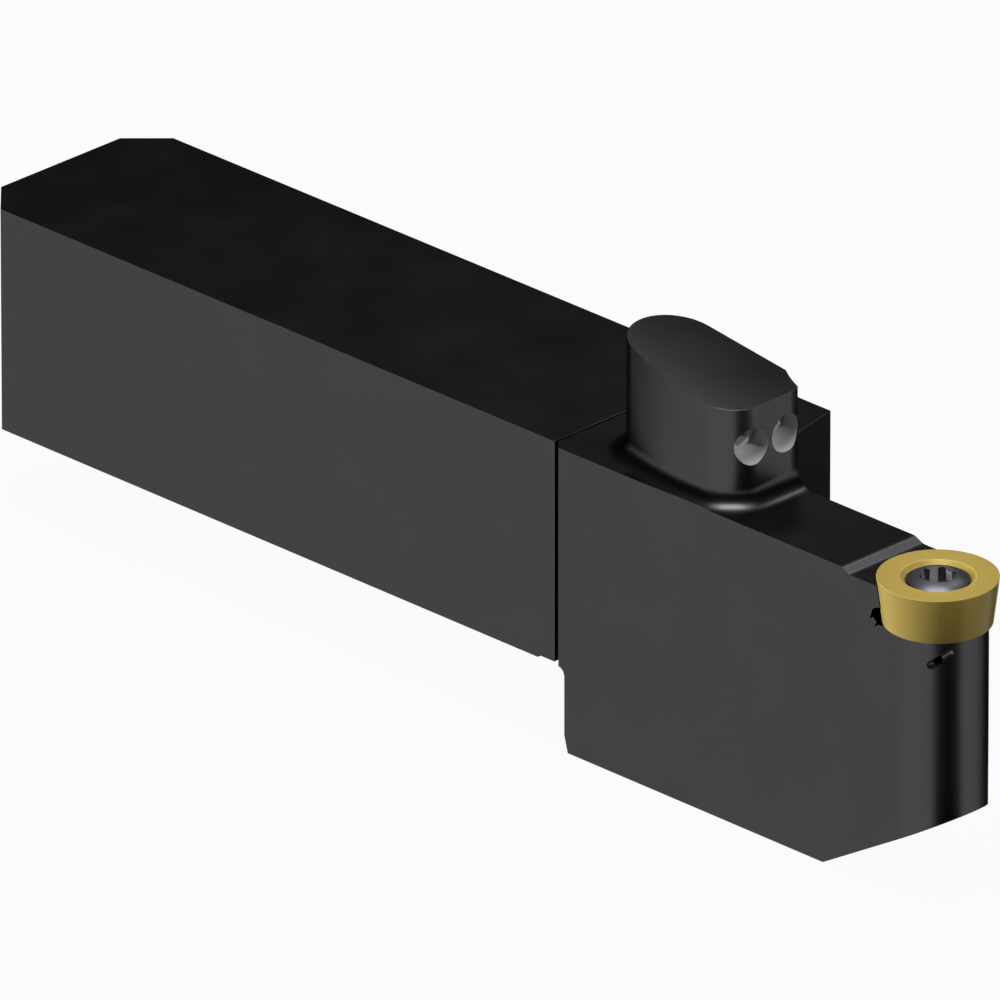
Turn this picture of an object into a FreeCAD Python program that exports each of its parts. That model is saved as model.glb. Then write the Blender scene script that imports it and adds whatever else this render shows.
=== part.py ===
import FreeCAD, Part

# Left-hand turning tool holder for a 16 mm round insert, with a coolant tower.
# Frame: origin at the middle of the shank's rear face, +X along the shank
# towards the insert, +Y towards the back of the tool, +Z up.

import math
import os

import Sketcher
from FreeCAD import Vector

doc = FreeCAD.newDocument("turning_tool_holder")

# Driving dimensions, in millimetres and degrees

SIZES = [
    # the square shank
    ("shank_height", 32.0),
    ("shank_width", 32.0),
    ("shank_length", 108.0),
    ("rear_chamfer", 5.0),
    ("tool_length", 180.0),
    # the head behind the neck
    ("head_drop", 0.3),
    ("head_proud", 0.6),
    ("head_undercut", 0.75),
    ("head_depth", 11.65),
    ("head_wall_set", 2.4),
    ("head_wall_radius", 1.2),
    ("head_toe_rise", 2.45),
    ("head_toe_run", 0.65),
    ("relief_length", 3.0),
    ("relief_depth", 0.33),
    ("step_reach", 126.3),
    ("step_angle", 12.7),
    ("neck_width", 13.53),
    ("neck_root_radius", 16.0),
    ("nose_set_back", 8.55),
    ("chin_start", 157.64),
    ("chin_angle", 30.0),
    # the insert and its pocket
    ("insert_diameter", 16.0),
    ("insert_thickness", 6.35),
    ("insert_clearance_angle", 7.0),
    ("insert_side_set", 6.38),
    ("insert_hole", 5.5),
    ("insert_mouth", 9.9),
    ("insert_mouth_bevel", 0.6),
    ("insert_mouth_depth", 0.5),
    ("insert_funnel_depth", 3.4),
    ("insert_funnel_radius", 5.0),
    ("pocket_gap", 0.12),
    ("pocket_shelf_drop", 0.7),
    ("pocket_ramp_run", 1.55),
    ("pocket_ramp_set", 3.15),
    ("pocket_wall_start", 2.5),
    # the two grooves that relieve the pocket's corner, measured out and up from the seat's rim
    ("seat_land", 0.5),
    ("low_groove_out", 1.05),
    ("low_groove_drop", 0.62),
    ("ridge_foot_out", 0.75),
    ("ridge_foot_rise", 0.2),
    ("ridge_top_out", 1.15),
    ("ridge_top_rise", 0.8),
    ("high_groove_out", 1.6),
    ("high_groove_rise", 0.25),
    ("groove_end_out", 1.2),
    ("groove_end_rise", 1.95),
    # the insert screw
    ("screw_core", 4.1),
    ("screw_length", 14.0),
    ("screw_head", 8.3),
    ("screw_head_edge", 0.2),
    ("screw_head_gap", 0.01),
    ("screw_sink", 0.26),
    ("screw_crown", 0.22),
    ("screw_crown_radius", 5.6),
    ("screw_hole_gap", 0.05),
    ("screw_hole_depth", 11.5),
    ("socket_mouth", 5.1),
    ("socket_mouth_depth", 0.28),
    ("socket_lobes", 4.95),
    ("socket_waist", 3.6),
    ("socket_lobe_radius", 0.5),
    ("socket_depth", 2.2),
    # the coolant tower
    ("tower_front", 139.5),
    ("tower_near_set", 1.65),
    ("tower_width", 14.4),
    ("tower_near_run", 6.0),
    ("tower_bow_radius", 48.0),
    ("tower_tail_radius", 6.2),
    ("tower_near_corner", 4.6),
    ("tower_back_corner", 3.9),
    ("tower_foot_radius", 2.6),
    ("tower_height", 13.8),
    ("tower_slope", 7.1),
    ("tower_crown_radius", 130.0),
    ("tower_crown_set", 10.1),
    # the two nozzles in the tower
    ("nozzle_bore", 5.2),
    ("nozzle_recess", 3.0),
    ("nozzle_drop", 5.6),
    ("nozzle_near_set", 3.95),
    ("nozzle_pitch", 5.9),
    ("nozzle_dip", 11.5),
    ("nozzle_near_turn", 5.3),
    ("nozzle_back_turn", 0.5),
    ("nozzle_gap", 0.05),
    ("nozzle_length", 5.0),
    ("nozzle_lip", 0.3),
    ("nozzle_socket", 3.0),
    ("nozzle_socket_depth", 1.8),
    ("nozzle_jet", 1.0),
    # the coolant ways inside
    ("inlet_thread", 8.566),
    ("inlet_thread_depth", 12.0),
    ("gallery_bore", 6.0),
    ("gallery_start", 8.0),
    ("riser_bore", 7.0),
    ("riser_set", 6.1),
    ("riser_over", 1.5),
    ("nozzle_feed", 2.5),
    ("nozzle_feed_length", 1.0),
    ("lower_inlet_reach", 24.0),
    ("plug_length", 8.0),
    ("plug_gap", 0.05),
    ("plug_bevel", 0.5),
    ("plug_sink", 0.5),
    ("plug_socket", 5.0),
    ("plug_socket_depth", 4.0),
    # the outlet under the insert
    ("outlet_bore", 1.2),
    ("outlet_low_drop", 3.57),
    ("outlet_high_drop", 2.05),
    ("outlet_low_angle", 38.3),
    ("outlet_high_angle", 59.0),
    ("outlet_feed", 1.0),
    ("outlet_feed_level", 30.0),
]

sheet = doc.addObject("Spreadsheet::Sheet", "Sizes")
for row, (alias, value) in enumerate(SIZES, start=1):
    sheet.set(f"A{row}", alias)
    sheet.set(f"B{row}", str(value))
    sheet.setAlias(f"B{row}", alias)

# Places worked out from the sizes, as formulas in a second sheet

PLACES = [
    ("shank_top", "Sizes.shank_height / 2"),
    ("shank_near", "-Sizes.shank_width / 2"),
    ("shank_back", "Sizes.shank_width / 2"),
    ("head_top", "shank_top - Sizes.head_drop"),
    ("head_bottom", "-shank_top - Sizes.head_depth"),
    ("head_near", "shank_near - Sizes.head_proud"),
    ("head_back", "shank_back + Sizes.head_proud"),
    ("head_flare", "Sizes.shank_length + Sizes.head_undercut + Sizes.head_proud"),
    ("head_wall", "Sizes.shank_length + Sizes.head_wall_set"),
    ("neck_back", "head_near + Sizes.neck_width"),
    ("nose_radius", "Sizes.neck_width / 2"),
    ("nose_reach", "Sizes.tool_length - Sizes.nose_set_back"),
    ("nose_side", "head_near + nose_radius"),
    ("root_side", "neck_back + Sizes.neck_root_radius"),
    ("root_reach", "Sizes.step_reach + (Sizes.neck_root_radius"
                   " + (head_back - root_side) * sin(Sizes.step_angle)) / cos(Sizes.step_angle)"),
    ("insert_reach", "Sizes.tool_length - Sizes.insert_diameter / 2"),
    ("insert_side", "head_near + Sizes.insert_side_set"),
    ("seat_level", "shank_top - Sizes.insert_thickness"),
    ("seat_radius", "Sizes.insert_diameter / 2"
                    " - Sizes.insert_thickness * tan(Sizes.insert_clearance_angle)"),
    ("shelf_level", "head_top - Sizes.pocket_shelf_drop"),
    ("ramp_start", "insert_reach - Sizes.insert_diameter / 2 - Sizes.pocket_ramp_set"),
    ("tower_near", "head_near + Sizes.tower_near_set"),
    ("tower_back", "tower_near + Sizes.tower_width"),
    ("bow_reach", "Sizes.tower_front - Sizes.tower_near_run"),
    ("bow_side", "tower_near + Sizes.tower_bow_radius"),
    ("tail_side", "tower_back - Sizes.tower_tail_radius"),
    ("bow_to_tail", "Sizes.tower_bow_radius - Sizes.tower_tail_radius"),
    ("tail_reach", "bow_reach - sqrt(bow_to_tail ^ 2 - (bow_side - tail_side) ^ 2)"),
    ("join_reach", "bow_reach - (bow_reach - tail_reach) * Sizes.tower_bow_radius / bow_to_tail"),
    ("join_side", "bow_side - (bow_side - tail_side) * Sizes.tower_bow_radius / bow_to_tail"),
    ("nozzle_level", "head_top + Sizes.tower_height - Sizes.nozzle_drop"),
    ("nozzle_near_side", "tower_near + Sizes.nozzle_near_set"),
    ("nozzle_back_side", "nozzle_near_side + Sizes.nozzle_pitch"),
    ("nozzle_end", "Sizes.nozzle_recess + Sizes.nozzle_length"),
    ("riser_set_back", "nozzle_end + Sizes.nozzle_feed_length + Sizes.riser_bore / 2"),
    ("riser_reach", "Sizes.tower_front - riser_set_back"),
    ("riser_side", "tower_back - Sizes.riser_set"),
    ("riser_end", "nozzle_level + riser_set_back * tan(Sizes.nozzle_dip) + Sizes.riser_over"),
    ("screw_level", "shank_top - Sizes.screw_sink"),
    ("lobe_centre", "Sizes.socket_lobes / 2 - Sizes.socket_lobe_radius"),
    ("waist_least", "Sizes.socket_waist / 2"),
    ("waist_radius", "(lobe_centre ^ 2 + waist_least ^ 2 - Sizes.socket_lobe_radius ^ 2"
                     " - 2 * lobe_centre * waist_least * cos(30))"
                     " / (2 * (Sizes.socket_lobe_radius - waist_least + lobe_centre * cos(30)))"),
    ("waist_centre", "waist_least + waist_radius"),
    ("lobe_share", "Sizes.socket_lobe_radius / (Sizes.socket_lobe_radius + waist_radius)"),
    ("lobe_end_along", "lobe_centre + (waist_centre * cos(30) - lobe_centre) * lobe_share"),
    ("lobe_end_across", "waist_centre * sin(30) * lobe_share"),
    ("lobe_end_radius", "sqrt(lobe_end_along ^ 2 + lobe_end_across ^ 2)"),
    ("lobe_end_angle", "atan(lobe_end_across / lobe_end_along)"),
    ("outlet_low_reach", "nose_reach + nose_radius * sin(Sizes.outlet_low_angle)"),
    ("outlet_low_side", "nose_side - nose_radius * cos(Sizes.outlet_low_angle)"),
    ("outlet_low_level", "seat_level - Sizes.outlet_low_drop"),
    ("outlet_run", "nose_reach + nose_radius * sin(Sizes.outlet_high_angle) - outlet_low_reach"),
    ("outlet_shift", "nose_side - nose_radius * cos(Sizes.outlet_high_angle) - outlet_low_side"),
    ("outlet_rise", "Sizes.outlet_low_drop - Sizes.outlet_high_drop"),
    ("outlet_level_run", "sqrt(outlet_run ^ 2 + outlet_shift ^ 2)"),
    ("feed_run", "outlet_low_reach + outlet_run / 2 - riser_reach"),
    ("feed_shift", "outlet_low_side + outlet_shift / 2 - riser_side"),
    ("feed_rise", "outlet_low_level + outlet_rise / 2 - (head_top - Sizes.outlet_feed_level)"),
    ("feed_level_run", "sqrt(feed_run ^ 2 + feed_shift ^ 2)"),
]

places = doc.addObject("Spreadsheet::Sheet", "Places")
for row, (alias, formula) in enumerate(PLACES, start=1):
    places.set(f"A{row}", alias)
    places.set(f"B{row}", "=" + formula)
    places.setAlias(f"B{row}", alias)
doc.recompute()


def size(formula):
    """The number that a formula on the two sheets gives now."""
    return float(sheet.evalExpression(formula))


# Sketches and features, bound to the sheets

def plane_of(body, role):
    """One of a body's own origin planes."""
    return next(item for item in body.Origin.OriginFeatures if item.Role == role)


def new_sketch(body, name, role, offset="0"):
    """An empty sketch on an origin plane of the body, moved along the plane's normal."""
    sketch = body.newObject("Sketcher::SketchObject", name)
    sketch.AttachmentSupport = [(plane_of(body, role), "")]
    sketch.MapMode = "FlatFace"
    sketch.setExpression("AttachmentOffset.Base.z", offset)
    return sketch


def bind(sketch, kind, places_in, name, formula):
    """A dimension in a sketch whose value is a formula on the sheets."""
    number = sketch.addConstraint(Sketcher.Constraint(kind, *places_in, size(formula)))
    sketch.renameConstraint(number, name)
    sketch.setExpression("Constraints." + name, formula)


def arc_between(start, end, radius, turn):
    """An arc of the given radius that turns left (+1) or right (-1) from start to end."""
    middle = (start + end) * 0.5
    chord = end - start
    rise = math.sqrt(max(radius ** 2 - (chord.Length / 2) ** 2, 0.0))
    side = Vector(-chord.y, chord.x, 0).normalize()
    centre = middle + side * (rise * turn)
    first, last = (start, end) if turn > 0 else (end, start)
    angles = [math.atan2(p.y - centre.y, p.x - centre.x) for p in (first, last)]
    circle = Part.Circle(centre, Vector(0, 0, 1), radius)
    return Part.ArcOfCircle(circle, angles[0], angles[1])


def add_outline(sketch, path):
    """A closed outline. Each corner is (along, across) or (along, across, radius, turn):
    the last two make the stretch to the next corner an arc that turns left or right."""
    corners = [Vector(size(corner[0]), size(corner[1]), 0) for corner in path]
    pieces = []
    for number, corner in enumerate(path):
        start, end = corners[number], corners[(number + 1) % len(corners)]
        if len(corner) == 2:
            pieces.append((sketch.addGeometry(Part.LineSegment(start, end)), 1, 2))
            continue
        arc = sketch.addGeometry(arc_between(start, end, size(corner[2]), corner[3]))
        ends = (1, 2) if corner[3] > 0 else (2, 1)
        pieces.append((arc, *ends))
    for number, (piece, first, last) in enumerate(pieces):
        following, start_of_next, _ = pieces[(number + 1) % len(pieces)]
        sketch.addConstraint(Sketcher.Constraint("Coincident", piece, last, following, start_of_next))
        bind(sketch, "DistanceX", (-1, 1, piece, first), f"along_{piece}", path[number][0])
        bind(sketch, "DistanceY", (-1, 1, piece, first), f"across_{piece}", path[number][1])
        if len(path[number]) == 4:
            bind(sketch, "Radius", (piece,), f"radius_{piece}", path[number][2])


def pad(body, name, sketch, length):
    feature = body.newObject("PartDesign::Pad", name)
    feature.Profile = sketch
    feature.setExpression("Length", length)
    sketch.Visibility = False
    return feature


def cut_through(body, name, sketch):
    feature = body.newObject("PartDesign::Pocket", name)
    feature.Profile = sketch
    feature.Type = "ThroughAll"
    feature.Midplane = True
    sketch.Visibility = False
    return feature


def pocket(body, name, sketch, depth):
    feature = body.newObject("PartDesign::Pocket", name)
    feature.Profile = sketch
    feature.setExpression("Length", depth)
    sketch.Visibility = False
    return feature


def turned(body, name, sketch, kind):
    """A full turn of a sketch about its own vertical axis."""
    feature = body.newObject("PartDesign::" + kind, name)
    feature.Profile = sketch
    feature.ReferenceAxis = (sketch, ["V_Axis"])
    feature.Angle = 360.0
    sketch.Visibility = False
    return feature


def turned_sketch(body, name, spot, turn="0", tip="0"):
    """A sketch for a turned feature: its vertical axis is the axis of the feature, and
    its origin is spot. It stands upright, then tips forward, then turns about Z."""
    sketch = body.newObject("Sketcher::SketchObject", name)
    sketch.AttachmentSupport = [(plane_of(body, "XY_Plane"), "")]
    sketch.MapMode = "FlatFace"
    sketch.setExpression(
        "AttachmentOffset",
        f"placement(vector({spot[0]}; {spot[1]}; {spot[2]});"
        f" rotation({turn}; {tip}; 90))")
    return sketch


def new_body(label):
    body = doc.addObject("PartDesign::Body", label)
    body.Label = label
    return body


# The holder's body: shank, head, neck and tower in one piece of steel

holder = new_body("holder_body")
BIG = "3 * Sizes.shank_width"

blank_sketch = new_sketch(holder, "blank_outline", "XY_Plane", "Places.head_bottom")
add_outline(blank_sketch, [
    ("Sizes.shank_length", "-" + BIG),
    ("Sizes.tool_length + " + BIG, "-" + BIG),
    ("Sizes.tool_length + " + BIG, BIG),
    ("Sizes.shank_length", BIG),
])
pad(holder, "blank", blank_sketch, "Places.head_top - Places.head_bottom")

tower_sketch = new_sketch(holder, "tower_outline", "XY_Plane", "Places.head_top")
add_outline(tower_sketch, [
    ("Places.bow_reach", "Places.tower_near"),
    ("Sizes.tower_front - Sizes.tower_near_corner", "Places.tower_near", "Sizes.tower_near_corner", 1),
    ("Sizes.tower_front", "Places.tower_near + Sizes.tower_near_corner"),
    ("Sizes.tower_front", "Places.tower_back - Sizes.tower_back_corner", "Sizes.tower_back_corner", 1),
    ("Sizes.tower_front - Sizes.tower_back_corner", "Places.tower_back"),
    ("Places.tail_reach", "Places.tower_back", "Sizes.tower_tail_radius", 1),
    ("Places.join_reach", "Places.join_side", "Sizes.tower_bow_radius", 1),
])
tower = pad(holder, "tower", tower_sketch, "2 * Sizes.tower_height")
doc.recompute()


def foot_edges(shape):
    """The edges where the tower's wall meets the top of the head."""
    touch = 0.0001
    level = size("Places.head_top")
    names = []
    for number, edge in enumerate(shape.Edges, start=1):
        box = edge.BoundBox
        flat = abs(box.ZMin - level) < touch and abs(box.ZMax - level) < touch
        inside = box.XMin > size("Places.head_flare") and box.XMax < size("Sizes.tool_length")
        if flat and inside:
            names.append(f"Edge{number}")
    return names


foot = holder.newObject("PartDesign::Fillet", "tower_foot")
foot.Base = (tower, foot_edges(tower.Shape))
foot.setExpression("Radius", "Sizes.tower_foot_radius")

# The tower's top falls towards the front and is slightly crowned from side to side
crown_sketch = holder.newObject("Sketcher::SketchObject", "tower_crown")
crown_sketch.AttachmentSupport = [(plane_of(holder, "YZ_Plane"), "")]
crown_sketch.MapMode = "FlatFace"
crown_sketch.setExpression(
    "AttachmentOffset",
    "placement(vector(Places.head_near + Sizes.tower_crown_set;"
    " Places.head_top + Sizes.tower_height; Sizes.tower_front);"
    " rotation(vector(1; 0; 0); Sizes.tower_slope))")
HALF_CROWN = "Sizes.shank_width"
CROWN_FALL = "Sizes.tower_crown_radius - sqrt(Sizes.tower_crown_radius ^ 2 - Sizes.shank_width ^ 2)"
add_outline(crown_sketch, [
    (HALF_CROWN, f"-({CROWN_FALL})", "Sizes.tower_crown_radius", 1),
    ("-" + HALF_CROWN, f"-({CROWN_FALL})"),
    ("-" + HALF_CROWN, "Sizes.shank_height"),
    (HALF_CROWN, "Sizes.shank_height"),
])
cut_through(holder, "tower_top", crown_sketch)

# Everything outside the head's outline is milled away, tower and foot included
head_sketch = new_sketch(holder, "head_outline", "XY_Plane")
add_outline(head_sketch, [
    ("Sizes.shank_length", "-2 * " + BIG),
    ("Sizes.tool_length + 2 * " + BIG, "-2 * " + BIG),
    ("Sizes.tool_length + 2 * " + BIG, "2 * " + BIG),
    ("Sizes.shank_length", "2 * " + BIG),
    ("Sizes.shank_length", "Places.shank_back - Sizes.head_undercut"),
    ("Places.head_flare", "Places.head_back"),
    ("Sizes.step_reach", "Places.head_back"),
    ("Places.root_reach - Sizes.neck_root_radius * cos(Sizes.step_angle)",
     "Places.root_side - Sizes.neck_root_radius * sin(Sizes.step_angle)",
     "Sizes.neck_root_radius", 1),
    ("Places.root_reach", "Places.neck_back"),
    ("Places.nose_reach", "Places.neck_back", "Places.nose_radius", -1),
    ("Places.nose_reach + Places.nose_radius", "Places.nose_side", "Places.nose_radius", -1),
    ("Places.nose_reach", "Places.head_near"),
    ("Places.head_flare", "Places.head_near"),
    ("Sizes.shank_length", "Places.shank_near + Sizes.head_undercut"),
])
cut_through(holder, "head_trim", head_sketch)

shank_sketch = new_sketch(holder, "shank_outline", "XY_Plane", "-Places.shank_top")
add_outline(shank_sketch, [
    ("0", "Places.shank_near + Sizes.rear_chamfer"),
    ("Sizes.rear_chamfer", "Places.shank_near"),
    ("Sizes.shank_length", "Places.shank_near"),
    ("Sizes.shank_length", "Places.shank_back"),
    ("Sizes.rear_chamfer", "Places.shank_back"),
    ("0", "Places.shank_back - Sizes.rear_chamfer"),
])
pad(holder, "shank", shank_sketch, "Sizes.shank_height")

# Seen from the side: the step under the shank, the chin under the nose, the shelf by the insert
side_sketch = new_sketch(holder, "side_outline", "XZ_Plane")
RELIEF = "-Places.shank_top + Sizes.relief_depth"
CHIN_RUN = "(Sizes.tool_length - Sizes.chin_start)"
add_outline(side_sketch, [
    ("Sizes.shank_length - Sizes.relief_length", "Places.head_bottom - Sizes.head_depth"),
    ("Sizes.shank_length - Sizes.relief_length", RELIEF),
    ("Places.head_wall - Sizes.head_wall_radius", RELIEF, "Sizes.head_wall_radius", -1),
    ("Places.head_wall", f"{RELIEF} - Sizes.head_wall_radius"),
    ("Places.head_wall", "Places.head_bottom + Sizes.head_toe_rise"),
    ("Places.head_wall + Sizes.head_toe_run", "Places.head_bottom"),
    ("Places.head_wall + Sizes.head_toe_run", "Places.head_bottom - Sizes.head_depth"),
])
add_outline(side_sketch, [
    ("Sizes.chin_start", "Places.head_bottom"),
    ("Sizes.tool_length", f"Places.head_bottom + {CHIN_RUN} * tan(Sizes.chin_angle)"),
    ("Sizes.tool_length", "Places.head_bottom - Sizes.head_depth"),
    ("Sizes.chin_start", "Places.head_bottom - Sizes.head_depth"),
])
add_outline(side_sketch, [
    ("Places.ramp_start", "Places.head_top"),
    ("Places.ramp_start + Sizes.pocket_ramp_run", "Places.shelf_level"),
    ("Sizes.tool_length", "Places.shelf_level"),
    ("Sizes.tool_length", "Places.shank_top + Sizes.head_depth"),
    ("Places.ramp_start", "Places.shank_top + Sizes.head_depth"),
])
cut_through(holder, "side_trim", side_sketch)

# The insert's pocket, with two relief grooves round the corner of its seat, and the screw's hole
SEAT = ("Places.insert_reach", "Places.insert_side", "Places.seat_level")
RIM = "Places.seat_radius + "
LEAN = "tan(Sizes.insert_clearance_angle)"
SCREW_HOLE = "Sizes.screw_core / 2 + Sizes.screw_hole_gap"
POCKET_TOP = "2 * Sizes.insert_thickness"
pocket_sketch = turned_sketch(holder, "pocket_outline", SEAT)
add_outline(pocket_sketch, [
    ("0", "-Sizes.screw_hole_depth"),
    (SCREW_HOLE, "-Sizes.screw_hole_depth"),
    (SCREW_HOLE, "0"),
    (RIM + "Sizes.seat_land", "0"),
    (RIM + "Sizes.low_groove_out", "-Sizes.low_groove_drop"),
    (RIM + "Sizes.ridge_foot_out", "Sizes.ridge_foot_rise"),
    (RIM + "Sizes.ridge_top_out", "Sizes.ridge_top_rise"),
    (RIM + "Sizes.high_groove_out", "Sizes.high_groove_rise"),
    (RIM + "Sizes.groove_end_out", "Sizes.groove_end_rise"),
    (RIM + f"Sizes.pocket_gap + Sizes.pocket_wall_start * {LEAN}", "Sizes.pocket_wall_start"),
    (RIM + f"Sizes.pocket_gap + {POCKET_TOP} * {LEAN}", POCKET_TOP),
    ("0", POCKET_TOP),
])
turned(holder, "insert_pocket", pocket_sketch, "Groove")


def bore(name, spot, steps, turn="0", tip="0"):
    """A round hole in the holder, from its mouth at spot: steps are (radius, from, to)
    along the hole's axis, which points up out of the mouth before it is tipped."""
    sketch = turned_sketch(holder, name + "_outline", spot, turn, tip)
    path = [("0", steps[0][1])]
    for radius, start, end in steps:
        path += [(radius, start), (radius, end)]
    path.append(("0", steps[-1][2]))
    add_outline(sketch, path)
    return turned(holder, name, sketch, "Groove")


# Rear inlet, then the gallery that runs forward to the riser. Each cut starts a little outside.
GALLERY_TURN = "atan(Places.riser_side / (Places.riser_reach - Sizes.gallery_start))"
INLET = "Sizes.inlet_thread / 2"
OUTSIDE = "1"
bore("rear_inlet", ("0", "0", "0"),
     [(INLET, OUTSIDE, "-Sizes.inlet_thread_depth")], tip="-90")
bore("gallery", ("Sizes.gallery_start", "0", "0"),
     [("Sizes.gallery_bore / 2", "0",
       "-(Places.riser_reach - Sizes.gallery_start) / cos(" + GALLERY_TURN + ")")],
     turn=GALLERY_TURN, tip="-90")

# Riser from the bottom of the head up into the tower
bore("riser", ("Places.riser_reach", "Places.riser_side", "Places.head_bottom"),
     [("Sizes.riser_bore / 2", "-Places.riser_end + Places.head_bottom",
       "-Sizes.inlet_thread_depth"),
      (INLET, "-Sizes.inlet_thread_depth", OUTSIDE)], tip="180")

# Second inlet under the shank, closed by a plug
bore("lower_inlet", ("Sizes.lower_inlet_reach", "0", "-Places.shank_top"),
     [("Sizes.gallery_bore / 2", "-Places.shank_top", "-Sizes.inlet_thread_depth"),
      (INLET, "-Sizes.inlet_thread_depth", OUTSIDE)], tip="180")

# Two nozzle bores, each with its feed back to the riser
NOZZLES = [
    ("near", "Places.nozzle_near_side", "-Sizes.nozzle_near_turn"),
    ("back", "Places.nozzle_back_side", "-Sizes.nozzle_back_turn"),
]
for side, across, turn in NOZZLES:
    bore("nozzle_bore_" + side, ("Sizes.tower_front", across, "Places.nozzle_level"),
         [("Sizes.nozzle_feed / 2", "-Places.riser_set_back", "-Places.nozzle_end"),
          ("Sizes.nozzle_bore / 2", "-Places.nozzle_end", "Sizes.tower_near_corner")],
         turn=turn, tip="90 + Sizes.nozzle_dip")

# The outlet that sprays the insert from below, and the long thin hole that feeds it
OUTLET_LENGTH = "sqrt(Places.outlet_level_run ^ 2 + Places.outlet_rise ^ 2)"
outlet_sketch = turned_sketch(
    holder, "outlet_outline",
    ("Places.outlet_low_reach", "Places.outlet_low_side", "Places.outlet_low_level"),
    turn="atan2(Places.outlet_shift; Places.outlet_run)",
    tip="atan2(Places.outlet_level_run; Places.outlet_rise)")
add_outline(outlet_sketch, [
    ("0", "-Sizes.outlet_bore / 2", "Sizes.outlet_bore / 2", 1),
    ("Sizes.outlet_bore / 2", "0"),
    ("Sizes.outlet_bore / 2", OUTLET_LENGTH, "Sizes.outlet_bore / 2", 1),
    ("0", f"{OUTLET_LENGTH} + Sizes.outlet_bore / 2"),
])
turned(holder, "outlet", outlet_sketch, "Groove")
bore("outlet_feed",
     ("Places.riser_reach", "Places.riser_side", "Places.head_top - Sizes.outlet_feed_level"),
     [("Sizes.outlet_feed / 2", "0", "sqrt(Places.feed_level_run ^ 2 + Places.feed_rise ^ 2)")],
     turn="atan2(Places.feed_shift; Places.feed_run)",
     tip="atan2(Places.feed_level_run; Places.feed_rise)")


# The loose pieces, each modelled about its own axis and then put in its place

def turned_body(label, path, spot, turn="0", tip="0"):
    """A turned piece: its axis is its own Z, which is then tipped forward and turned."""
    body = new_body(label)
    sketch = new_sketch(body, label + "_profile", "XZ_Plane")
    add_outline(sketch, path)
    turned(body, label + "_turned", sketch, "Revolution")
    body.setExpression(
        "Placement",
        f"placement(vector({spot[0]}; {spot[1]}; {spot[2]}); rotation({turn}; {tip}; 0))")
    return body


def sunk(body, name, level, path, depth):
    """A socket cut down from a level on the piece's own axis."""
    sketch = new_sketch(body, name + "_outline", "XY_Plane", level)
    add_outline(sketch, path)
    pocket(body, name, sketch, depth)


def hexagon(across_flats):
    """Outline of a hexagon socket."""
    corner = f"{across_flats} / 2 / cos(30)"
    return [(f"{corner} * cos({angle})", f"{corner} * sin({angle})") for angle in range(0, 360, 60)]


def six_lobes():
    """Outline of the screw's six-lobe socket: each lobe runs smoothly into the next waist."""
    path = []
    for lobe in range(0, 360, 60):
        for side, radius, turn in (("-", "Sizes.socket_lobe_radius", 1), ("+", "Places.waist_radius", -1)):
            angle = f"({lobe} deg {side} Places.lobe_end_angle)"
            path.append((f"Places.lobe_end_radius * cos({angle})",
                         f"Places.lobe_end_radius * sin({angle})", radius, turn))
    return path


# Round insert: its side leans in towards the seat, and its hole opens out at the top
INSERT_TOP = "Sizes.insert_thickness"
FUNNEL_TOP = f"{INSERT_TOP} - Sizes.insert_mouth_depth"
turned_body("round_insert", [
    ("Sizes.insert_hole / 2", "0"),
    ("Places.seat_radius", "0"),
    ("Sizes.insert_diameter / 2", INSERT_TOP),
    ("Sizes.insert_mouth / 2", INSERT_TOP),
    ("Sizes.insert_mouth / 2 - Sizes.insert_mouth_bevel", FUNNEL_TOP,
     "Sizes.insert_funnel_radius", -1),
    ("Sizes.insert_hole / 2", f"{INSERT_TOP} - Sizes.insert_funnel_depth"),
], SEAT)

# Insert screw: domed head with a six-lobe socket, and a core the size of its tapped hole
HEAD_FALL = "(Sizes.insert_funnel_depth - Sizes.screw_sink)"
HEAD_EDGE = "-Sizes.screw_crown - Sizes.screw_head_edge"
screw = turned_body("insert_screw", [
    ("0", "-Sizes.screw_length"),
    ("Sizes.screw_core / 2 - Sizes.screw_head_edge", "-Sizes.screw_length"),
    ("Sizes.screw_core / 2", "-Sizes.screw_length + Sizes.screw_head_edge"),
    ("Sizes.screw_core / 2", f"-{HEAD_FALL}"),
    ("Sizes.insert_hole / 2 - Sizes.screw_head_gap", f"-{HEAD_FALL}",
     "Sizes.insert_funnel_radius", 1),
    ("Sizes.screw_head / 2", HEAD_EDGE),
    ("Sizes.screw_head / 2", "-Sizes.screw_crown", "Sizes.screw_crown_radius", 1),
    ("Sizes.socket_mouth / 2", "0"),
    ("Sizes.socket_waist / 2", "-Sizes.socket_mouth_depth"),
    ("0", "-Sizes.socket_mouth_depth"),
], ("Places.insert_reach", "Places.insert_side", "Places.screw_level"))
sunk(screw, "screw_socket", "0", six_lobes(), "Sizes.socket_depth")

# Two nozzles at the bottom of their recesses in the tower
for side, across, turn in NOZZLES:
    nozzle = turned_body("coolant_nozzle_" + side, [
        ("Sizes.nozzle_jet / 2", "-Places.nozzle_end"),
        ("Sizes.nozzle_bore / 2 - Sizes.nozzle_gap", "-Places.nozzle_end"),
        ("Sizes.nozzle_bore / 2 - Sizes.nozzle_gap", "-Sizes.nozzle_recess - Sizes.nozzle_lip"),
        ("Sizes.nozzle_bore / 2 - Sizes.nozzle_gap - Sizes.nozzle_lip", "-Sizes.nozzle_recess"),
        ("Sizes.nozzle_jet / 2", "-Sizes.nozzle_recess"),
    ], ("Sizes.tower_front", across, "Places.nozzle_level"), turn, "90 + Sizes.nozzle_dip")
    sunk(nozzle, f"nozzle_{side}_socket", "-Sizes.nozzle_recess",
         hexagon("Sizes.nozzle_socket"), "Sizes.nozzle_socket_depth")

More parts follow.
